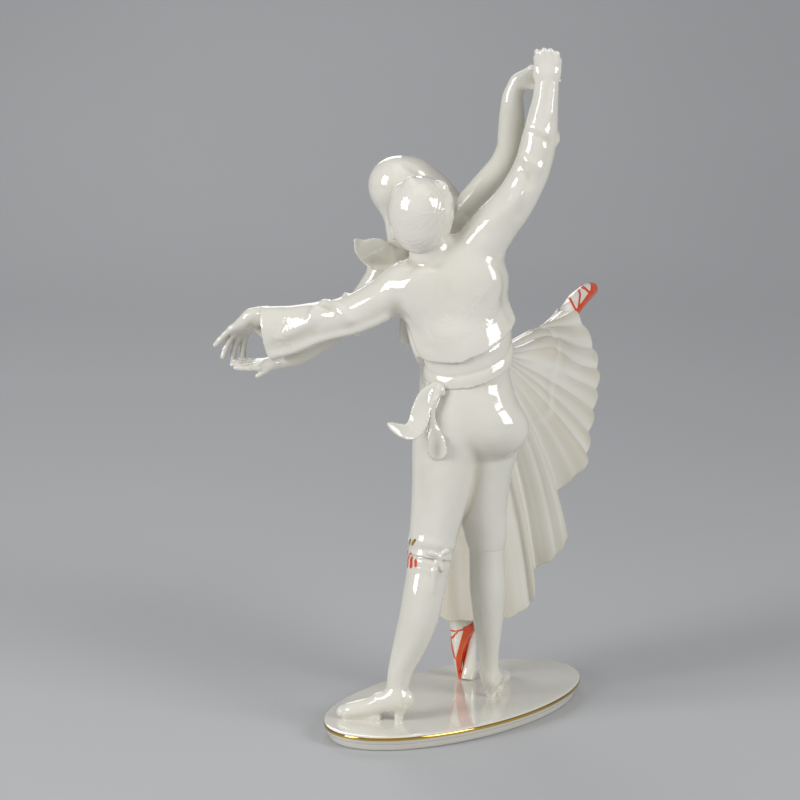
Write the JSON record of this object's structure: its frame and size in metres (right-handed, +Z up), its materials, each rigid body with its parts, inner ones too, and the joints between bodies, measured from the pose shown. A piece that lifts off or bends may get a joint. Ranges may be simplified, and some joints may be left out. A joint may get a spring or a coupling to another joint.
{
  "type": "porcelain dancing couple figurine",
  "caption": "Glazed porcelain figurine of a dancing couple with joined raised hands, a flaring pleated skirt and a thin oval base.",
  "frame": {"origin": "middle of the flat underside of the oval base", "axes": "+Z up, -Y the way the dancers face, +X on the dancers' left"},
  "size_m": [0.1985, 0.2068, 0.3304],
  "materials": {
    "glazed_porcelain": "warm white hard porcelain under a clear glossy glaze, with orange-red and gold painted touches"
  },
  "bodies": {
    "root": {"dancing_couple": "glazed_porcelain"}
  },
  "joints": []
}
